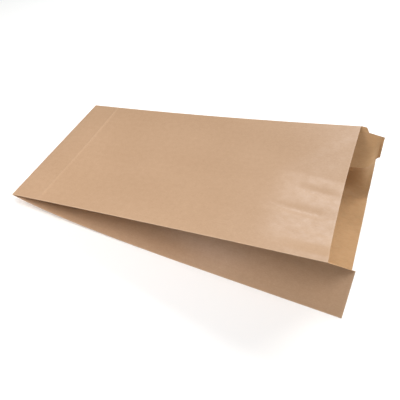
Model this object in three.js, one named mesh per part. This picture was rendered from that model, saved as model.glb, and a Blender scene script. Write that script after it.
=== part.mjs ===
// A plain brown paper bag with side gussets, pinched shut at one end. It lies on its back
// panel with the mouth open. Millimetres, +Z up, the mouth towards +X, the ground at z = 0.
import * as THREE from 'three';
import { mergeVertices } from 'three/addons/utils/BufferGeometryUtils.js';

// Paper
const WALL = 0.8; // thickness of the solid that stands for the paper
const PANEL_WIDTH = 180; // front and back panel, fold to fold
const GUSSET_HALF = 47.5; // each gusset folds inwards along its middle
const BACK_LENGTH = 367.5; // shut end to mouth, along the paper
const FRONT_LENGTH = 343.5; // the front panel is cut back, which leaves a lip

// Shut end
const END_HEIGHT = 16; // the flattened end curls up off the ground
const END_GAP = 1.7; // front wall to back wall at the very end, centre to centre
const END_SKEW = 3; // the far corner lies this much further out than the near one
const GLUED_LENGTH = 12; // the layers are stuck together this far in
const CURL_LENGTH = 160; // from here on the back panel lies flat
const CURL_DECAY = 52; // distance over which the curl falls to about a third

// Open mouth
const NEAR_HEIGHT = 74.5; // fold of the front panel above the ground, at its cut
const FAR_HEIGHT = 80.5;
const FAR_SAG = 2.5; // the far top fold hangs through halfway along
const MIDDLE_RISE = 7; // the far gusset's middle fold climbs above mid height
const FLARE_LENGTH = 25; // the far gusset springs open over this length before its cut
const FLARE_SHARE = 0.88; // share of its depth that it loses there

// Cut of the mouth across a gusset
const STRIP_WIDTH = 4.7; // strip along the front fold that is cut back with the front panel
const STRIP_STEP = 2.1; // width over which the cut then runs out to full length
const STRIP_LEAD = 4.3; // reach of the strip past the front panel, at the fold
const STRIP_REACH = 7.2; // and at the strip's inner side
const MIDDLE_NOTCH = 3; // the far gusset's middle fold is cut this much shorter
const NOTCH_EDGE = 2; // from the middle fold to where the cut is at full length

const PAPER_COLOUR = 0xc49c76;

const halfWall = WALL / 2;
const halfWidth = PANEL_WIDTH / 2;
const frontStart = END_HEIGHT + END_GAP / 2;
const backStart = END_HEIGHT - END_GAP / 2;

// The six folds in order round the tube, seen from the mouth: over the top from the near
// side to the far side, in at the far gusset, and back along the ground.
const FOLDS = ['nearTop', 'farTop', 'farMiddle', 'farBottom', 'nearBottom', 'nearMiddle'];
const [FRONT, FAR_UPPER, FAR_LOWER, BACK, NEAR_LOWER, NEAR_UPPER] = FOLDS.keys();

const lerp = THREE.MathUtils.lerp;
const clamp = THREE.MathUtils.clamp;

// Height of a fold of the front panel. Past the panel's cut the gusset's edge is level.
function topHeight(side, s) {
  const share = Math.min(s / FRONT_LENGTH, 1);
  const sag = side > 0 ? FAR_SAG * 4 * share * (1 - share) : 0;
  const mouth = (side > 0 ? FAR_HEIGHT : NEAR_HEIGHT) - halfWall;
  return lerp(frontStart, mouth, share) - sag;
}

// Height of the back panel: it curls up towards the shut end.
function bottomHeight(s) {
  const last = Math.exp(-CURL_LENGTH / CURL_DECAY);
  const curl = Math.max(0, (Math.exp(-s / CURL_DECAY) - last) / (1 - last));
  return lerp(halfWall, backStart, curl);
}

// A gusset's middle fold: how deep it lies inside the bag, and how high.
function middleFold(side, s) {
  const top = topHeight(side, s);
  const bottom = bottomHeight(s);
  const depth = Math.sqrt(GUSSET_HALF ** 2 - ((top - bottom) / 2) ** 2);
  const middle = (top + bottom) / 2;
  if (side < 0) return { depth, height: middle };
  const flareStart = BACK_LENGTH - MIDDLE_NOTCH - FLARE_LENGTH;
  const flare = FLARE_SHARE * clamp((s - flareStart) / FLARE_LENGTH, 0, 1) ** 4;
  return { depth: depth * (1 - flare), height: middle + MIDDLE_RISE * (s / BACK_LENGTH) ** 4 };
}

// Where a fold is, at a distance s along the paper from the shut end. The fold keeps its
// length, so what it rises or swings sideways it loses in reach.
function foldPoint(name, s) {
  const side = name.startsWith('far') ? 1 : -1;
  const start = new THREE.Vector3(0, side * halfWidth, END_HEIGHT);
  const point = start.clone();
  if (name.endsWith('Top')) {
    start.z = frontStart;
    point.z = topHeight(side, s);
  } else if (name.endsWith('Bottom')) {
    start.z = backStart;
    point.z = bottomHeight(s);
  } else {
    const { depth, height } = middleFold(side, s);
    start.y = side * (halfWidth - GUSSET_HALF);
    point.set(0, side * (halfWidth - depth), height);
  }
  const reach = Math.sqrt(Math.max(0, s ** 2 - start.distanceToSquared(point)));
  const skew = END_SKEW * (0.5 + point.y / PANEL_WIDTH) * (1 - s / BACK_LENGTH);
  point.x = reach - skew;
  return point;
}

// The strips of paper between neighbouring folds, as one cross-section of the tube.
function section(s) {
  const points = FOLDS.map((name) => foldPoint(name, s));
  return points.map((from, i) => {
    const to = points[(i + 1) % points.length];
    const along = new THREE.Vector2(to.y - from.y, to.z - from.z);
    const length = along.length();
    along.divideScalar(length);
    return { from, to, along, length, normal: new THREE.Vector2(-along.y, along.x) };
  });
}

// How far from their common fold the offset faces of two strips meet. On the outside of
// the bend they don't meet, and a rounded edge closes the gap instead.
function inset(before, after, face) {
  const cross = before.along.cross(after.along);
  if (cross * face < 0) return 0;
  const turn = Math.atan2(Math.abs(cross), before.along.dot(after.along));
  return Math.min(halfWall * Math.tan(turn / 2), before.length, after.length);
}

// A point on the outer (face 1) or inner (face -1) side of the wall. A column on a strip
// keeps its distance from the strip's first fold; an edge column rounds the fold itself.
function wallPoint({ strip, at, edge }, s, face) {
  const strips = section(s);
  const here = strips[strip];
  const before = strips[(strip + strips.length - 1) % strips.length];
  const after = strips[(strip + 1) % strips.length];
  const start = inset(before, here, face);
  if (edge && start === 0) {
    const tip = before.along.clone().sub(here.along).normalize();
    const reach = halfWall * face * Math.sign(-before.along.cross(here.along));
    return new THREE.Vector3(here.from.x, here.from.y + tip.x * reach, here.from.z + tip.y * reach);
  }
  const distance = clamp(edge ? 0 : at(here.length), start, here.length - inset(here, after, face));
  const y = here.from.y + here.along.x * distance + here.normal.x * halfWall * face;
  const z = here.from.z + here.along.y * distance + here.normal.y * halfWall * face;
  return new THREE.Vector3(lerp(here.from.x, here.to.x, distance / here.length), y, z);
}

// Length of the paper at a gusset, at a distance from its fold with the front panel.
function gussetCut(distance) {
  if (distance > STRIP_WIDTH) return BACK_LENGTH;
  return FRONT_LENGTH + lerp(STRIP_LEAD, STRIP_REACH, distance / STRIP_WIDTH);
}

const fromStart = (distance) => () => distance;
const fromEnd = (distance) => (length) => length - distance;
const share = (part) => (length) => length * part;

// Columns of points that run from the shut end to the cut, in order round the tube.
function columns() {
  const list = [];
  const edge = (strip, cut) => list.push({ strip, cut, edge: true });
  const column = (strip, at, cut) => list.push({ strip, at, cut });
  const acrossPanel = [0, 0.25, 0.5, 0.75, 1];
  const acrossStrip = [0, STRIP_WIDTH, STRIP_WIDTH + STRIP_STEP];
  const notched = BACK_LENGTH - MIDDLE_NOTCH;
  const foldCut = FRONT_LENGTH + STRIP_LEAD / 2;

  edge(FRONT, foldCut);
  for (const part of acrossPanel) column(FRONT, share(part), FRONT_LENGTH);
  edge(FAR_UPPER, foldCut);
  for (const distance of acrossStrip) column(FAR_UPPER, fromStart(distance), gussetCut(distance));
  column(FAR_UPPER, share(0.5), BACK_LENGTH);
  column(FAR_UPPER, fromEnd(NOTCH_EDGE), BACK_LENGTH);
  column(FAR_UPPER, fromEnd(0), notched);
  edge(FAR_LOWER, notched);
  for (const part of [0, 0.5, 1]) column(FAR_LOWER, share(part), lerp(notched, BACK_LENGTH, part));
  edge(BACK, BACK_LENGTH);
  for (const part of acrossPanel) column(BACK, share(part), BACK_LENGTH);
  edge(NEAR_LOWER, BACK_LENGTH);
  for (const part of [0, 0.5, 1]) column(NEAR_LOWER, share(part), BACK_LENGTH);
  edge(NEAR_UPPER, BACK_LENGTH);
  for (const part of [0, 0.5]) column(NEAR_UPPER, share(part), BACK_LENGTH);
  for (const distance of acrossStrip.reverse()) column(NEAR_UPPER, fromEnd(distance), gussetCut(distance));
  return list;
}

// Distances from the shut end at which the columns have points: close together where the
// folds part and where the mouth flares, and stretched near the mouth to reach each cut.
function stations() {
  const list = [0];
  for (let step = 2; list.at(-1) < GLUED_LENGTH; step += 1) list.push(list.at(-1) + step);
  const glued = list.length - 1;
  list[glued] = GLUED_LENGTH;
  const steps = 16;
  const last = BACK_LENGTH - MIDDLE_NOTCH - FLARE_LENGTH;
  for (let i = 1; i <= steps; i += 1) list.push(lerp(GLUED_LENGTH, last, (i / steps) ** 1.3));
  const flareSteps = 8;
  for (let i = 1; i <= flareSteps; i += 1) list.push(lerp(last, BACK_LENGTH, i / flareSteps));
  return { list, glued };
}

function stretched(s, cut) {
  const stretchStart = FRONT_LENGTH - 4 * FLARE_LENGTH;
  if (s <= stretchStart) return s;
  return lerp(stretchStart, cut, (s - stretchStart) / (BACK_LENGTH - stretchStart));
}

// The wall as one closed skin: an outer and an inner face, the rim of the mouth between
// them, and a cap at each face's shut end.
function bagGeometry() {
  const around = columns();
  const { list: along, glued } = stations();
  const vertices = [];
  const triangles = [];
  const ring = (s, face) => around.map((column) => {
    vertices.push(...wallPoint(column, stretched(s, column.cut), face).toArray());
    return vertices.length / 3 - 1;
  });
  const band = (a, b) => a.forEach((_, i) => {
    const j = (i + 1) % a.length;
    triangles.push([a[i], a[j], b[j]], [a[i], b[j], b[i]]);
  });
  const cap = (loop, turn) => {
    const centre = new THREE.Vector3();
    for (const i of loop) centre.add(new THREE.Vector3().fromArray(vertices, i * 3));
    vertices.push(...centre.divideScalar(loop.length).toArray());
    const hub = vertices.length / 3 - 1;
    loop.forEach((v, i) => {
      const next = loop[(i + 1) % loop.length];
      triangles.push(turn > 0 ? [hub, v, next] : [hub, next, v]);
    });
  };

  const outer = along.map((s) => ring(s, 1));
  const inner = along.slice(glued).map((s) => ring(s, -1));
  outer.slice(1).forEach((loop, k) => band(loop, outer[k]));
  inner.slice(1).forEach((loop, k) => band(inner[k], loop));
  band(inner.at(-1), outer.at(-1));
  cap(outer[0], 1);
  cap(inner[0], -1);
  return closedGeometry(vertices, triangles);
}

// Joins the points that folds bring together and drops the triangles that this flattens.
function closedGeometry(vertices, triangles) {
  const soup = new THREE.BufferGeometry();
  soup.setAttribute('position', new THREE.Float32BufferAttribute(vertices, 3));
  soup.setIndex(triangles.flat());
  const merged = mergeVertices(soup, 1e-3);
  const index = merged.index.array;
  const kept = [];
  for (let i = 0; i < index.length; i += 3) {
    const [a, b, c] = index.slice(i, i + 3);
    if (a !== b && b !== c && c !== a) kept.push(a, b, c);
  }
  merged.setIndex(kept);
  merged.computeVertexNormals();
  return merged;
}

// The bag with the middle of its footprint at the origin.
function paperBag() {
  const geometry = bagGeometry();
  geometry.computeBoundingBox();
  const middle = geometry.boundingBox.getCenter(new THREE.Vector3());
  geometry.translate(-middle.x, -middle.y, -geometry.boundingBox.min.z);
  const paper = new THREE.MeshStandardMaterial({ color: PAPER_COLOUR, roughness: 0.85, metalness: 0 });
  const mesh = new THREE.Mesh(geometry, paper);
  mesh.name = 'paper_bag';
  return mesh;
}

const bag = new THREE.Group();
bag.add(paperBag());

export default bag;
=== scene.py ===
import math

import bpy
import numpy as np
from mathutils import Matrix, Vector


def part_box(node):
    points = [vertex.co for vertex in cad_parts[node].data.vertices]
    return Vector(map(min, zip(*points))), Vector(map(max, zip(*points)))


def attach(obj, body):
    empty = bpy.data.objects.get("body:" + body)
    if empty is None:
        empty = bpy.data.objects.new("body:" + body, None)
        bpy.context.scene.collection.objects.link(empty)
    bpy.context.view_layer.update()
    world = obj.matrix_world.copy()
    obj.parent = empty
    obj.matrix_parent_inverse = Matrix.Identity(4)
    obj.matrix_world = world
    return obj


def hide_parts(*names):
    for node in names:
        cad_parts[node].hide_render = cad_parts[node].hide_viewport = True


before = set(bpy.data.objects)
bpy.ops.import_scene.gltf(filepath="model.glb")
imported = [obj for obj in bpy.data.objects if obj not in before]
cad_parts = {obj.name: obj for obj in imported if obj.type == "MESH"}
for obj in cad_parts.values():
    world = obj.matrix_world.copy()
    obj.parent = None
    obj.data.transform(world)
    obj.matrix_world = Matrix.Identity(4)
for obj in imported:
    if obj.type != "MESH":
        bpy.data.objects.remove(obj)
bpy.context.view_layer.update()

# Camera: its lens is a little wider than a normal one. It looks down across the bag from the near
# side of its mouth.
CAMERA_PLACE = Vector((0.13904, -0.30757, 0.36234))
CAMERA_LOOK = Vector((-0.26499, 0.61881, -0.73949))
CAMERA_ROLL = math.radians(-0.541)
SENSOR_WIDTH_MM = 36.0
LENS_MM = 38.40

camera_data = bpy.data.cameras.new("camera")
camera_data.sensor_width = SENSOR_WIDTH_MM
camera_data.lens = LENS_MM
camera = bpy.data.objects.new("camera", camera_data)
camera.location = CAMERA_PLACE
camera.rotation_mode = "QUATERNION"
camera.rotation_quaternion = (
    CAMERA_LOOK.to_track_quat("-Z", "Y") @ Matrix.Rotation(CAMERA_ROLL, 3, "Z").to_quaternion()
)
bpy.context.collection.objects.link(camera)
bpy.context.scene.camera = camera

# Paper bag: one sheet of unbleached kraft paper, folded round into a tube with a pleat in each
# side, glued along the middle of the back, and turned under and glued at the shut end. It lies
# on its back panel with the mouth standing open.

# The sheet as it is cut and creased. Near and far are the bag's sides at low and high Y.
SHEET = 0.0002  # drawn at twice the real thickness, so that a cut edge shows at all
CREASE_RADIUS = 0.00012  # middle of the sheet round a sharp crease
PANEL_WIDTH = 0.180
GUSSET_HALF = 0.0475  # a middle fold parts each gusset into two halves of this width
BACK_LENGTH = 0.3679
BACK_SLANT = 0.0005  # the back is cut this much shorter at its near side
FRONT_LENGTH = 0.3435  # the front panel is cut back, which leaves a lip to blow open
FRONT_SLANT = 0.0012  # and a little more so at its far side
FRONT_DIP = 0.0006  # and halfway across
SEAM_LAP = 0.012  # the sheet's two long edges overlap this far at the back seam
FLAP_LENGTH = 0.037  # the shut end is turned under this far
STRIP_WIDTH = 0.0047  # beside the front panel a gusset is cut back with it over this width
STRIP_STEP = 0.0021  # the cut steps out to the gusset's own length over this one
STRIP_LEAD = 0.0052  # the strip is this much longer than the front at their fold
STRIP_REACH = 0.0081  # and this much at the step
FAR_NOTCH = 0.0026  # the middle fold of each gusset is shorter than the rest by its notch
NEAR_NOTCH = 0.0005
FAR_NOTCH_EDGE = 0.002  # the notch in the upper half is this wide
NEAR_NOTCH_EDGE = 0.008
NEAR_TRAIL = 0.0030  # the near gusset's upper half is cut shorter towards the front panel
FAR_LEAD = 0.0017  # the far one's cut slants, furthest out just before its middle fold

# How it stands.
END_TOP = 0.0165  # upper face of the shut end, which curls up off the ground
END_SKEW = 0.0030  # the far corner of the shut end lies this much further out
END_TIP = 0.0012  # and curves out by this much more
END_INSET = 0.0006  # the folds start this much further in, as the turned end rolls out past them
CURL_LENGTH = 0.200  # beyond this the back lies on the ground
CURL_DECAY = 0.070  # most of the curl is gone within this
NEAR_HEIGHT = 0.0744  # the near top fold's height at the front panel's cut
NEAR_ARCH = 0.0011  # it stands up by this halfway along
FAR_HEIGHT = 0.0811
FAR_SAG = 0.0023  # the far top fold hangs by this halfway along
MIDDLE_RISE = 0.007  # the far middle fold rises by this at the mouth
NEAR_SINK = 0.0024  # the near middle fold sinks by this at the mouth
SINK_BEFORE = 0.020  # starting this far before the front panel's cut
SINK_LENGTH = 0.040  # and over this length
NEAR_BULGE = 0.0008  # the near lower fold bows out by this halfway along
FLARE_LENGTH = 0.025  # at its mouth the far gusset opens out over this length
FLARE_SHARE = 0.88  # by this share of its depth

half_width = PANEL_WIDTH / 2
layer = 2 * CREASE_RADIUS  # from sheet to sheet where they lie folded flat
end_top = END_TOP - SHEET / 2 - CREASE_RADIUS
end_bottom = end_top - 2 * layer
ground = SHEET / 2 + CREASE_RADIUS
shut_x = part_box("paper_bag")[0][0] + END_SKEW + END_INSET

# Each strip of the sheet runs from the fold of the same number to the next one.
FOLDS = ("near_top", "far_top", "far_middle", "far_bottom", "near_bottom", "near_middle")
FRONT, FAR_UPPER, FAR_LOWER, BACK, NEAR_LOWER, NEAR_UPPER = range(len(FOLDS))
OUTWARD = (1, 1, -1, 1, 1, -1)  # which way each fold turns: 1 is a ridge, -1 a valley
STRIP_WIDTHS = (PANEL_WIDTH, GUSSET_HALF, GUSSET_HALF, PANEL_WIDTH, GUSSET_HALF, GUSSET_HALF)


def lerp(a, b, share):
    return a + (b - a) * share


def ease(share):
    share = np.clip(share, 0, 1)
    return share * share * (3 - 2 * share)


def top_height(far, s):
    """Height of a top fold at the distances s from the shut end, along the paper."""
    share = np.minimum(s / FRONT_LENGTH, 1)
    mouth = (FAR_HEIGHT if far else NEAR_HEIGHT) - SHEET / 2 - CREASE_RADIUS
    return lerp(end_top, mouth, share) - (FAR_SAG if far else -NEAR_ARCH) * 4 * share * (1 - share)


def bottom_height(s):
    last = math.exp(-CURL_LENGTH / CURL_DECAY)
    return lerp(ground, end_bottom, np.maximum(0, (np.exp(-s / CURL_DECAY) - last) / (1 - last)))


def middle_fold(far, s):
    """How far in from its side a gusset's middle fold lies, and how high."""
    top, bottom = top_height(far, s), bottom_height(s)
    depth = np.sqrt(GUSSET_HALF**2 - ((top - bottom) / 2) ** 2)
    height = (top + bottom) / 2
    if far:
        flare_start = BACK_LENGTH - FAR_NOTCH - FLARE_LENGTH
        depth = depth * (1 - FLARE_SHARE * np.clip((s - flare_start) / FLARE_LENGTH, 0, 1) ** 4)
        height = height + MIDDLE_RISE * (s / BACK_LENGTH) ** 4
    else:
        height = height - NEAR_SINK * ease((s - FRONT_LENGTH + SINK_BEFORE) / SINK_LENGTH)
    return depth, height


def fold_line(fold, s):
    """Points of a fold at the distances s along the paper, which keeps its length."""
    far = FOLDS[fold].startswith("far")
    side = 1 if far else -1
    start_y, y = side * half_width, np.full_like(s, side * half_width)
    if FOLDS[fold].endswith("top"):
        start_z, z = end_top, top_height(far, s)
    elif FOLDS[fold].endswith("bottom"):
        start_z, z = end_bottom, bottom_height(s)
        if not far:
            y = y - NEAR_BULGE * np.sin(math.pi * np.clip(s / BACK_LENGTH, 0, 1))
    else:
        depth, z = middle_fold(far, s)
        start_y, start_z = side * (half_width - GUSSET_HALF), (end_top + end_bottom) / 2
        y = side * (half_width - depth)
    reach = np.sqrt(np.maximum(0, s**2 - (y - start_y) ** 2 - (z - start_z) ** 2))
    across = 0.5 + y / PANEL_WIDTH
    skew = (END_SKEW * across + END_TIP * across**6) * (1 - s / BACK_LENGTH)
    return np.stack([reach - skew, y, z], axis=1)


def strip_ends(strip, s):
    """The folds at a strip's two sides, its width and its outward normal."""
    start, end = fold_line(strip, s), fold_line((strip + 1) % len(FOLDS), s)
    across = end[:, 1:] - start[:, 1:]
    width = np.linalg.norm(across, axis=1, keepdims=True)
    across = across / width
    outward = np.stack([-across[:, 1], across[:, 0]], axis=1)
    return start, end, width[:, 0], outward


TRUE_WIDTH = 0.010  # beside its first fold a strip keeps its true width however it twists


def strip_point(strip, distance, s):
    """Points of a flat strip, a distance across it from its first fold."""
    start, end, width, outward = strip_ends(strip, s)
    nominal = STRIP_WIDTHS[strip]
    if distance > TRUE_WIDTH:
        stretch = (width - TRUE_WIDTH) / (nominal - TRUE_WIDTH)
        distance = TRUE_WIDTH + (distance - TRUE_WIDTH) * stretch
    share = (distance / width)[:, None]
    start_side, end_side = OUTWARD[strip], OUTWARD[(strip + 1) % len(FOLDS)]
    point = lerp(start, end, share)
    point[:, 1:] += outward * CREASE_RADIUS * lerp(start_side, end_side, share)
    return point


def crease_point(fold, turn, s):
    """Points on the small arc round a fold; turn runs from the strip before it to its own."""
    line = fold_line(fold, s)
    before, after = strip_ends(fold - 1 if fold else NEAR_UPPER, s)[3], strip_ends(fold, s)[3]
    first = np.arctan2(before[:, 1], before[:, 0])
    swing = np.arctan2(after[:, 1], after[:, 0]) - first
    swing = -np.mod(-swing, 2 * math.pi) if OUTWARD[fold] > 0 else np.mod(swing, 2 * math.pi)
    angle = first + turn * swing
    reach = CREASE_RADIUS * OUTWARD[fold]
    line[:, 1:] += reach * np.stack([np.cos(angle), np.sin(angle)], axis=1)
    return line


# Near the mouth the far lower fold opens: the gusset's lower half and the back make one round bend.
BEND_LENGTH = 0.120  # it starts this far before the mouth
BEND_OPENING = 0.7  # the share of that length over which it opens
BEND_REACH = 0.024  # it runs this far into the back
BEND_LEAN = 0.008  # it leans in by this as it leaves the middle fold
BEND_DROP = 0.010  # and drops by this
BEND_FULLNESS = 0.75  # its two handles reach out to the side by this share of the room


def round_far_bottom(point, offset, s):
    """Moves points of the far gusset's lower half and the back onto the bend.

    offset is measured across the fold between them, and is below 0 on the gusset.
    """
    opened = ease((s - (BACK_LENGTH - BEND_LENGTH)) / (BEND_OPENING * BEND_LENGTH))
    if offset > BEND_REACH or not opened.any():
        return point
    start, foot = fold_line(FAR_LOWER, s), strip_point(BACK, BEND_REACH, s)
    start[:, 2] -= CREASE_RADIUS
    belly = half_width - BEND_LEAN - start[:, 1]
    leave = lerp(start, foot, 1 / 3)
    leave[:, 1] = start[:, 1] + BEND_FULLNESS * belly
    leave[:, 2] = start[:, 2] - BEND_DROP
    land = lerp(start, foot, 2 / 3)
    land[:, 1] = foot[:, 1] + BEND_FULLNESS * BEND_REACH
    land[:, 2] = foot[:, 2]
    t = (offset + GUSSET_HALF) / (BEND_REACH + GUSSET_HALF)
    bend = (1 - t) ** 3 * start + 3 * t * (1 - t) ** 2 * leave
    bend = bend + 3 * t**2 * (1 - t) * land + t**3 * foot
    return lerp(point, bend, opened[:, None])


# Slow waves that any handled paper has: short sines of random direction, the same on each run.
rng = np.random.default_rng(11)
WAVE_COUNT = 16
WAVE_SLOPE = 0.0045  # the steepest slope of each
WAVE_LENGTHS = (0.045, 0.150)
wave_lengths = rng.uniform(*WAVE_LENGTHS, WAVE_COUNT)
wave_angles = rng.uniform(0, math.pi, WAVE_COUNT)
wave_starts = rng.uniform(0, 2 * math.pi, WAVE_COUNT)


def slow_waves(across, along):
    total = np.zeros_like(along)
    for length, angle, start in zip(wave_lengths, wave_angles, wave_starts):
        phase = (across * math.cos(angle) + along * math.sin(angle)) * 2 * math.pi / length
        total += WAVE_SLOPE * length / (2 * math.pi) * np.sin(phase + start)
    return total


# The free edge of the front panel droops over a patch, which starts straight across the panel and
# turns at its tip to run out to the cut on a slant. The tip is given as its distance from the near
# fold and its distance along the paper.
DROOP_TIP = (0.104, 0.280)
DROOP_SLOPE = 0.15  # the drop, as a share of the way past the patch's start
DROOP_ROUND = 0.012  # that start is rounded over this to either side
DROOP_SIDE = 0.030  # the droop fades out within this of the near fold


def droop(across, along):
    start = DROOP_TIP[1] + max(0.0, across - DROOP_TIP[0])
    past = along - start
    rounded = np.where(
        past < DROOP_ROUND, np.maximum(0, past + DROOP_ROUND) ** 2 / (4 * DROOP_ROUND), past
    )
    return DROOP_SLOPE * rounded * ease(across / DROOP_SIDE)


# Small ripples run over that patch towards the cut: the places of their two ends, in the same way,
# with their height and half width.
RIPPLES = (
    ((0.086, 0.288), (0.084, 0.334), -0.0010, 0.0055),
    ((0.057, 0.262), (0.057, 0.328), -0.0013, 0.0055),
    ((0.031, 0.298), (0.028, 0.340), 0.0012, 0.0060),
    ((0.092, 0.284), (0.108, 0.334), 0.0010, 0.0200),
)
RIPPLE_SWELL = 0.625  # each swells over this share of its length
RIPPLE_FADE = (0.9, 1.3)  # and fades between these shares, the last of them past its end


def ripples(across, along):
    total = np.zeros_like(along)
    fade_start, fade_end = RIPPLE_FADE
    for (across_a, along_a), (across_b, along_b), height, half in RIPPLES:
        share = (along - along_a) / (along_b - along_a)
        centre = lerp(across_a, across_b, share)
        shown = ease(share / RIPPLE_SWELL) * ease((fade_end - share) / (fade_end - fade_start))
        total += height * shown * np.exp(-(((across - centre) / half) ** 2))
    return total


PRINT_HEIGHT = 0.00030  # of the step, and of the ridge
PRINT_RUN = 0.003  # the step comes down over this
PRINT_HALF = 0.0016  # the ridge's half width


def flap_print(along):
    """The end of the turned-under flap shows through the front as a faint step with a ridge."""
    step = PRINT_HEIGHT * ease((FLAP_LENGTH - along) / PRINT_RUN + 0.5)
    return step + PRINT_HEIGHT * np.exp(-(((along - FLAP_LENGTH) / PRINT_HALF) ** 2))


# The front panel sags between its two folds. The sag grows from the shut end, and is less again
# towards the mouth.
FRONT_SAG = 0.0080
SAG_GROWS = 0.120  # it is grown at this distance from the shut end
SAG_LESSENS = (0.200, 0.340)  # and lessens between these
SAG_LOST = 0.5  # by this share

# The near gusset's lower half is hollow, but not at the mouth.
NEAR_HOLLOW = 0.0050
HOLLOW_LIMIT = 0.22  # as a share of the height of that half
HOLLOW_END = 0.300  # at this distance from the shut end it is gone
HOLLOW_FADE = 0.120  # after fading over this

# Waves, ripples and droop, and the flap's print die away within these distances of a fold.
WAVE_EDGE = 0.018
RIPPLE_EDGE = 0.012
PRINT_EDGE = 0.006

# All relief dies away within the first of these of the shut end, but the print within the second.
RELIEF_START = 0.060
PRINT_START = 0.004


def relief(strip, distance, s):
    """How far the sheet stands out from its flat strip."""
    width = STRIP_WIDTHS[strip]
    edge = min(distance, width - distance)
    if edge < 0:
        return np.zeros_like(s)
    offset = sum(STRIP_WIDTHS[:strip]) + distance
    out = slow_waves(np.full_like(s, offset), s) * ease(edge / WAVE_EDGE)
    if strip == FRONT:
        out = out + (ripples(distance, s) - droop(distance, s)) * ease(edge / RIPPLE_EDGE)
        lessens, lessened = SAG_LESSENS
        shown = ease(s / SAG_GROWS) * (1 - SAG_LOST * ease((s - lessens) / (lessened - lessens)))
        out = out - FRONT_SAG * shown * math.sin(math.pi * distance / width)
    if strip == BACK:
        out = -np.abs(out)  # the ground is under it
    if strip == NEAR_LOWER:
        rise = (top_height(False, s) - bottom_height(s)) / 2
        hollow = np.minimum(NEAR_HOLLOW, HOLLOW_LIMIT * rise)
        hollow = hollow * ease((HOLLOW_END - s) / HOLLOW_FADE)
        out = out - hollow * math.sin(math.pi * distance / width)
    out = out * ease(s / RELIEF_START)
    if strip == FRONT:
        out = out + flap_print(s) * ease(edge / PRINT_EDGE) * ease(s / PRINT_START)
    return out


SLANT_RATE = 1.3  # the front's slant is spent before its far side
LEAD_START = 0.2  # the far gusset's slant starts at this share of its upper half's width


def gusset_cut(distance, length):
    """Where the mouth's cut crosses a gusset's upper half, a distance from the front panel."""
    if distance > STRIP_WIDTH + STRIP_STEP:
        return length
    strip_cut = FRONT_LENGTH + lerp(STRIP_LEAD, STRIP_REACH, min(1, distance / STRIP_WIDTH))
    return lerp(strip_cut, length, max(0, distance - STRIP_WIDTH) / STRIP_STEP)


def cut_length(strip, distance):
    """Where the mouth's cut crosses a strip."""
    if strip == FRONT:
        dip = FRONT_DIP * math.sin(math.pi * distance / PANEL_WIDTH)
        slant = FRONT_SLANT * float(ease(SLANT_RATE * distance / PANEL_WIDTH))
        return FRONT_LENGTH - slant - dip
    near_length = BACK_LENGTH - BACK_SLANT
    if strip == BACK:
        return lerp(BACK_LENGTH, near_length, distance / PANEL_WIDTH)
    from_outer = distance if strip in (FAR_UPPER, NEAR_LOWER) else GUSSET_HALF - distance
    from_middle = GUSSET_HALF - from_outer
    if strip == FAR_UPPER:
        notch = FAR_NOTCH * max(0, 1 - from_middle / FAR_NOTCH_EDGE)
        lead = FAR_LEAD * max(0, from_outer / GUSSET_HALF - LEAD_START)
        lead = lead * min(1, from_middle / FAR_NOTCH_EDGE)
        return gusset_cut(from_outer, BACK_LENGTH) - notch + lead
    if strip == FAR_LOWER:
        return BACK_LENGTH - FAR_NOTCH * from_outer / GUSSET_HALF
    if strip == NEAR_LOWER:
        return near_length - NEAR_NOTCH * from_outer / GUSSET_HALF
    notch = NEAR_NOTCH * max(0, 1 - from_middle / NEAR_NOTCH_EDGE)
    trail = NEAR_TRAIL * from_middle / GUSSET_HALF
    return gusset_cut(from_outer, near_length - trail) - notch


# Lines of points across the sheet, close together at a crease and about PITCH apart elsewhere. Each
# is its strip, its distance from the strip's first fold, and its turn where it is on a crease. The
# first line is the sheet's edge inside the seam, and the last is its edge outside it.
BESIDE_CREASE = (0.0003, 0.0007, 0.0013, 0.0025)
INNER_START = 0.0045  # the wider spacing starts this far from a crease
PITCH = 0.0026
CREASE_TURNS = (0, 1 / 6, 2 / 6, 3 / 6, 4 / 6, 5 / 6, 1)


def strip_distances(strip):
    width = STRIP_WIDTHS[strip]
    step = (STRIP_WIDTH, STRIP_WIDTH + STRIP_STEP)
    count = round((width - 2 * INNER_START) / PITCH) + 1
    inner = list(np.linspace(INNER_START, width - INNER_START, count))
    if strip == FAR_UPPER:
        inner = [d for d in inner if d > step[1] + PITCH / 2] + list(step)
    if strip == NEAR_UPPER:
        inner = [d for d in inner if width - d > step[1] + PITCH / 2] + [width - d for d in step]
    return sorted(list(BESIDE_CREASE) + inner + [width - d for d in BESIDE_CREASE])


seam_start = half_width - SEAM_LAP / 2
seam_end = half_width + SEAM_LAP / 2
back = strip_distances(BACK)
lines = [(BACK, d, None) for d in [seam_start] + [d for d in back if d > seam_start + PITCH / 2]]
for strip in (NEAR_LOWER, NEAR_UPPER, FRONT, FAR_UPPER, FAR_LOWER, BACK):
    lines += [(strip, 0.0, turn) for turn in CREASE_TURNS]
    if strip != BACK:
        lines += [(strip, d, None) for d in strip_distances(strip)]
lines += [(BACK, d, None) for d in [d for d in back if d < seam_end - PITCH / 2] + [seam_end]]

# Rows of points along the sheet, close together at the shut end and beside the flap's print.
rows = np.concatenate([
    (0, 0.0006, 0.0014, 0.0026, 0.0042, 0.0064),
    np.linspace(0.009, FLAP_LENGTH - 0.004, 10),
    np.linspace(FLAP_LENGTH - 0.003, FLAP_LENGTH + 0.003, 9),
    np.linspace(FLAP_LENGTH + 0.004, BACK_LENGTH, 124),
])
STRETCH_START = 0.2435  # beyond this the rows are drawn back, so that the last lies on the cut


def line_rows(cut):
    share = np.maximum(0, rows - STRETCH_START) / (BACK_LENGTH - STRETCH_START)
    return np.where(rows <= STRETCH_START, rows, lerp(STRETCH_START, cut, share))


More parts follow.
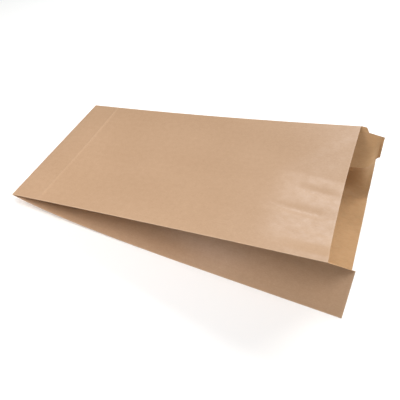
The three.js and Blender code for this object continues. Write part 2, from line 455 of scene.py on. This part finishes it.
# Inside the seam the sheet lies further in by a little more than its thickness. Past the edge that
# laps over it, it comes back to the back's own level.
SEAM_DEPTH = 1.1 * SHEET
SEAM_LEVEL = 0.007  # it is level again this far past that edge
SEAM_RAMP = 0.003  # having come back over this


def line_of_points(index):
    strip, distance, turn = lines[index]
    cut = cut_length(strip, distance)
    if turn is not None:
        before = strip - 1 if strip else NEAR_UPPER
        cut = lerp(cut_length(before, STRIP_WIDTHS[before]), cut, turn)
    s = line_rows(cut)
    if turn is not None:
        point = crease_point(strip, turn, s)
        if strip == BACK:
            point = round_far_bottom(point, (turn - 0.5) * layer, s)
        return s, point
    point = strip_point(strip, distance, s)
    outward = strip_ends(strip, s)[3]
    stand = relief(strip, distance, s)
    if strip == BACK and index < len(lines) / 2:
        stand = stand - SEAM_DEPTH * ease((seam_end + SEAM_LEVEL - distance) / SEAM_RAMP)
    point[:, 1:] += outward * stand[:, None]
    if strip == FAR_LOWER:
        point = round_far_bottom(point, distance - GUSSET_HALF, s)
    if strip == BACK and index > len(lines) / 2:
        point = round_far_bottom(point, distance, s)
    return s, point


grid = [line_of_points(i) for i in range(len(lines))]
along = np.stack([s for s, _ in grid], axis=1)
sheet = np.stack([p for _, p in grid], axis=1)

# The front panel runs on past the shut end, round the stack of layers and back along the
# underside of the back panel.
ROLL_STEPS = 7
FLAP_START = 0.002  # after the roll its rows start this far in
FLAP_ROWS = 14
FLAP_GAP = 1.4 * layer  # from the middle of the back's sheet to the middle of the flap's
SLOPE_STEP = 0.0005  # the curl's slope is measured over this

front = [i for i, (strip, _, turn) in enumerate(lines) if strip == FRONT and turn in (None, 1)]
front.append(front[-1] + 1)
edge_line = sheet[0, front]
roll_centre = end_top + CREASE_RADIUS - 2 * layer
roll_radius = 2 * layer
flap_rows = []
flap_along = []
for angle in np.linspace(0, math.pi, ROLL_STEPS + 1)[1:]:
    turned = edge_line.copy()
    turned[:, 0] -= roll_radius * math.sin(angle)
    turned[:, 2] = roll_centre + roll_radius * math.cos(angle)
    flap_rows.append(turned)
    flap_along.append(-roll_radius * angle)
for reach in np.linspace(FLAP_START, FLAP_LENGTH, FLAP_ROWS):
    level = bottom_height(np.array([reach, reach + SLOPE_STEP])) - CREASE_RADIUS
    tilt = math.atan2(level[1] - level[0], SLOPE_STEP)
    turned = edge_line.copy()
    turned[:, 0] += fold_line(BACK, np.array([reach]))[0, 0] - fold_line(BACK, np.zeros(1))[0, 0]
    turned[:, 0] += layer * math.sin(tilt)
    turned[:, 2] = level[0] - FLAP_GAP * math.cos(tilt)
    flap_rows.append(turned)
    flap_along.append(-roll_radius * math.pi - reach)

# Faces between the lines and rows, and a normal at each point that looks out of the bag.
row_count, line_count = along.shape
middle = np.concatenate([sheet.reshape(-1, 3)] + flap_rows)
number = np.arange(row_count * line_count).reshape(row_count, line_count)
flap_number = [number[0, front]] + [
    row_count * line_count + i * len(front) + np.arange(len(front)) for i in range(len(flap_rows))
]


def quads(number_a, number_b):
    return np.stack([number_a[:-1], number_a[1:], number_b[1:], number_b[:-1]], axis=1)


faces = [quads(number[i], number[i + 1]) for i in range(row_count - 1)]
faces += [quads(b, a) for a, b in zip(flap_number, flap_number[1:])]
faces = np.concatenate(faces)
corners = middle[faces]
face_normal = np.cross(corners[:, 2] - corners[:, 0], corners[:, 3] - corners[:, 1])
normal = np.zeros_like(middle)
for k in range(4):
    np.add.at(normal, faces[:, k], face_normal)
normal /= np.linalg.norm(normal, axis=1, keepdims=True)
if normal[number[row_count // 2, front[len(front) // 2]], 2] < 0:
    normal, faces = -normal, faces[:, ::-1]

# Both faces of the sheet, half a thickness to either side of its middle, and its cut edges.
count = len(middle)
edges = np.concatenate([faces[:, [k, (k + 1) % 4]] for k in range(4)])
_, first_index, uses = np.unique(
    np.sort(edges, axis=1), axis=0, return_index=True, return_counts=True
)
border = edges[first_index[uses == 1]]
rim = np.stack([border[:, 1], border[:, 0], border[:, 0] + count, border[:, 1] + count], axis=1)
all_faces = np.concatenate([faces, faces[:, ::-1] + count, rim])
points = np.concatenate([middle + normal * SHEET / 2, middle - normal * SHEET / 2])
points = points + np.array([shut_x, 0, 0])

SHARP_ANGLE = math.radians(50)
mesh = bpy.data.meshes.new("bag_sheet")
mesh.from_pydata(points.tolist(), [], all_faces.tolist())
mesh.polygons.foreach_set("use_smooth", [True] * len(all_faces))
mesh.set_sharp_from_angle(angle=SHARP_ANGLE)

# Where each point lies on the flat sheet, in metres, which the paper's pattern follows.
CREASE_STEP = 0.00005  # from point to point round a crease


def step_across(line, following):
    (strip, distance, _), (next_strip, next_distance, turn) = line, following
    if turn:
        return CREASE_STEP
    if strip == next_strip:
        return max(0.0, next_distance - distance)
    return STRIP_WIDTHS[strip] - distance


around = np.cumsum([0] + [step_across(*pair) for pair in zip(lines, lines[1:])])
flat_across = np.concatenate([np.tile(around, row_count)] + [around[front]] * len(flap_rows))
flat_along = np.concatenate([along.ravel()] + [np.full(len(front), s) for s in flap_along])
face_side = np.repeat([0.0, 1.0], count)
place = np.stack([np.tile(flat_across, 2), np.tile(flat_along, 2), face_side], axis=1)
paper_place = mesh.attributes.new("sheet_place", "FLOAT_VECTOR", "POINT")
paper_place.data.foreach_set("vector", place.ravel().astype(np.float32))

# How much the paper is rubbed at each point: a crease most, at 1, then the cut of the mouth, and
# least the ridge over the flap's end.
RUB_WIDTH = 0.0008  # most of the rub is gone within this
RIDGE_RUB_WIDTH = 0.0009
CUT_RUB = 0.6
RIDGE_RUB = 0.35
INSIDE_RUB = 0.2  # the inner side, as a share of the outer one

crease_gap = np.array([
    0 if turn is not None else min(d, STRIP_WIDTHS[strip] - d) for strip, d, turn in lines
])
cut = np.tile(along[-1], row_count)
rub = np.exp(-(np.tile(crease_gap, row_count) / RUB_WIDTH) ** 2)
rub = np.maximum(rub, CUT_RUB * np.exp(-((cut - along.ravel()) / RUB_WIDTH) ** 2))
on_front = np.tile([strip == FRONT and turn is None for strip, _, turn in lines], row_count)
ridge = np.exp(-(((along.ravel() - FLAP_LENGTH) / RIDGE_RUB_WIDTH) ** 2))
rub = np.maximum(rub, RIDGE_RUB * on_front * ridge)
rub = np.concatenate([rub, np.zeros(len(front) * len(flap_rows))])
rub = np.concatenate([rub, INSIDE_RUB * rub])
rubbed = mesh.attributes.new("rubbed", "FLOAT", "POINT")
rubbed.data.foreach_set("value", rub.astype(np.float32))


def linear(hex_colour):
    channels = [int(hex_colour[i : i + 2], 16) / 255 for i in (1, 3, 5)]
    return [c / 12.92 if c <= 0.04045 else ((c + 0.055) / 1.055) ** 2.4 for c in channels] + [1.0]


def node(tree, kind, settings=None, **sockets):
    """Adds a node. A socket takes a value, or another node's output to link to."""
    made = tree.nodes.new(kind)
    for key, value in (settings or {}).items():
        setattr(made, key, value)
    for key, value in sockets.items():
        socket = made.inputs[int(key[1:]) if key[1:].isdigit() else key.replace("_", " ")]
        if isinstance(value, bpy.types.NodeSocket):
            tree.links.new(value, socket)
        else:
            socket.default_value = value
    return made


# Unbleached kraft paper: the outer side is pressed against a hot polished drum and has a soft
# sheen, the inner side is left rough. Both show clouds of denser pulp, streaks along the run of
# the machine, and dark flecks of bark. The inner side's colour is also warmer and more golden,
# which is painted warm light bounced about inside the bag.
PAPER_IOR = 1.5
ROUGHNESS_SPREAD = 0.05  # the clouds change the roughness by this to either side
GRAIN_HEIGHT = 0.00014  # more than the real one, as its fibres are drawn wider
GRAIN_STRENGTH = 0.5
CLOUD_LOW = 0.3
CLOUD_HIGH = 0.7

# The pattern of each mark: its texture, its size across and along the sheet in mm, how far apart
# the sheet's two sides lie in it, and its detail. Drift is a slow change of tone over a hand's
# breadth. Real fibres are 0.03 mm wide, too fine to show, and are drawn coarser.
PATTERNS = {
    "clouds": ("ShaderNodeTexNoise", 5, 7, 7.3, {"Detail": 3}),
    "drift": ("ShaderNodeTexNoise", 70, 110, 7.3, {"Detail": 1}),
    "streaks": ("ShaderNodeTexNoise", 1.1, 38, 7.3, {"Detail": 2}),
    "fibres": ("ShaderNodeTexNoise", 0.9, 2.4, 7.3, {"Detail": 3}),
    "flecks": ("ShaderNodeTexVoronoi", 6.5, 9, 3.0, {}),
}

# Each mark is laid over those before it: a range of its pattern, how much the mark covers at
# either end of that range, and whether it is darker or lighter than the body of the paper.
MARKS = (
    ("clouds", CLOUD_LOW, CLOUD_HIGH, 0.0, 0.18, "dark"),
    ("drift", 0.35, 0.65, 0.0, 0.16, "dark"),
    ("streaks", 0.35, 0.65, 0.0, 0.06, "light"),
    ("fibres", 0.4, 0.75, 0.0, 0.22, "light"),
    ("flecks", 0.03, 0.06, 0.45, 0.0, "dark"),
    ("rubbed", 0.0, 1.0, 0.0, 0.35, "light"),
)


def kraft_paper(name, body, dark, light, roughness, sheen_level):
    material = bpy.data.materials.new(name)
    material.use_nodes = True
    tree = material.node_tree
    tree.nodes.clear()
    out = node(tree, "ShaderNodeOutputMaterial")
    where = node(tree, "ShaderNodeAttribute", {"attribute_name": "sheet_place"}).outputs["Vector"]
    worn = node(tree, "ShaderNodeAttribute", {"attribute_name": "rubbed"}).outputs["Fac"]

    pattern = {"rubbed": worn}
    for mark, (texture, across_mm, along_mm, side_gap, detail) in PATTERNS.items():
        spot = node(
            tree, "ShaderNodeVectorMath", {"operation": "MULTIPLY"},
            _0=where, _1=(1000 / across_mm, 1000 / along_mm, side_gap),
        )
        pattern[mark] = node(tree, texture, Vector=spot.outputs[0], Scale=1.0, **detail).outputs[0]

    tones = {"dark": linear(dark), "light": linear(light)}
    colour = linear(body)
    for mark, low, high, cover_low, cover_high, tone in MARKS:
        cover = node(
            tree, "ShaderNodeMapRange", Value=pattern[mark],
            From_Min=low, From_Max=high, To_Min=cover_low, To_Max=cover_high,
        )
        colour = node(
            tree, "ShaderNodeMix", {"data_type": "RGBA"},
            _0=cover.outputs["Result"], _6=colour, _7=tones[tone],
        ).outputs[2]

    height = node(
        tree, "ShaderNodeMath", {"operation": "ADD"}, _0=pattern["clouds"], _1=pattern["fibres"]
    ).outputs[0]
    bump = node(
        tree, "ShaderNodeBump", Strength=GRAIN_STRENGTH, Distance=GRAIN_HEIGHT, Height=height
    ).outputs["Normal"]
    glaze = node(
        tree, "ShaderNodeMapRange", Value=pattern["clouds"], From_Min=CLOUD_LOW, From_Max=CLOUD_HIGH,
        To_Min=roughness - ROUGHNESS_SPREAD, To_Max=roughness + ROUGHNESS_SPREAD,
    ).outputs["Result"]
    shader = node(
        tree, "ShaderNodeBsdfPrincipled", Base_Color=colour, Roughness=glaze, Normal=bump
    )
    shader.inputs["IOR"].default_value = PAPER_IOR
    shader.inputs["Specular IOR Level"].default_value = sheen_level
    tree.links.new(shader.outputs[0], out.inputs[0])
    return material


mesh.materials.append(kraft_paper(
    "unbleached_kraft_glazed_side", "#b49375", "#977452", "#cbb091", 0.45, 0.5
))
# The rough side's colour is warmer and more golden than the glazed side's: painted warm light
# bounced about inside the bag.
mesh.materials.append(kraft_paper(
    "unbleached_kraft_rough_side_painted_warm_bounce", "#c19669", "#967149", "#c9ac86", 0.75, 0.35
))
material_of = np.ones(len(all_faces), dtype=np.int32)
material_of[: len(faces)] = 0
mesh.polygons.foreach_set("material_index", material_of)
mesh.update()

bag = bpy.data.objects.new("bag_sheet", mesh)
bpy.context.collection.objects.link(bag)
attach(bag, "root")
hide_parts("paper_bag")

# Floor and light: a plain table under four soft boxes, two beyond the bag's far side, one past its
# shut end and one above its mouth. The table is matt white laminate, which mirrors next to
# nothing, and it glows a little so that it stays white in the shade.
FLOOR_SIZE = 6.0
FLOOR_GAP = 0.00002  # it lies this much lower than the bag, so that the two never share a plane
FLOOR_GLOW = 0.10
TENT_GLOW = 0.16

half = FLOOR_SIZE / 2
floor_mesh = bpy.data.meshes.new("floor")
floor_mesh.from_pydata(
    [(-half, -half, 0), (half, -half, 0), (half, half, 0), (-half, half, 0)], [], [(0, 1, 2, 3)]
)
white_table = bpy.data.materials.new("matt_white_laminate")
white_table.use_nodes = True
table_shader = white_table.node_tree.nodes["Principled BSDF"]
table_shader.inputs["Base Color"].default_value = linear("#f4f4f2")
table_shader.inputs["Roughness"].default_value = 0.9
table_shader.inputs["Specular IOR Level"].default_value = 0.1
table_shader.inputs["Emission Color"].default_value = (1, 1, 1, 1)
table_shader.inputs["Emission Strength"].default_value = FLOOR_GLOW
floor_mesh.materials.append(white_table)
floor = bpy.data.objects.new("floor", floor_mesh)
floor.location = (0, 0, -FLOOR_GAP)
bpy.context.collection.objects.link(floor)


def soft_lamp(name, azimuth, height, distance, size, power, tint):
    """A square soft box that looks at the bag; the angles are in degrees, azimuth from +X."""
    data = bpy.data.lights.new(name, "AREA")
    data.shape = "SQUARE"
    data.size = size
    data.energy = power
    data.color = tint
    lamp = bpy.data.objects.new(name, data)
    away = Vector((math.cos(math.radians(azimuth)), math.sin(math.radians(azimuth)), 0))
    away = away * math.cos(math.radians(height)) + Vector((0, 0, math.sin(math.radians(height))))
    lamp.location = away * distance
    lamp.rotation_mode = "QUATERNION"
    lamp.rotation_quaternion = (-away).to_track_quat("-Z", "Y")
    bpy.context.collection.objects.link(lamp)


# Of these the glazed paper near the mouth mirrors the second most.
soft_lamp("soft_box_far_side", 54, 33, 1.5, 0.7, 12.9, (1.02, 1.0, 0.94))
soft_lamp("soft_box_behind_mouth", 88, 46, 1.5, 0.4, 6.8, (0.94, 1.0, 1.08))
soft_lamp("soft_box_shut_end", 218, 40, 0.72, 0.35, 2.9, (1.06, 1.0, 0.98))
soft_lamp("soft_box_over_mouth", 338, 62, 1.5, 0.6, 10.2, (0.98, 1.0, 1.04))

world = bpy.data.worlds.new("studio_tent")
world.use_nodes = True
world.node_tree.nodes["Background"].inputs["Color"].default_value = (1, 1, 1, 1)
world.node_tree.nodes["Background"].inputs["Strength"].default_value = TENT_GLOW
bpy.context.scene.world = world
bpy.context.scene.view_settings.view_transform = "Standard"
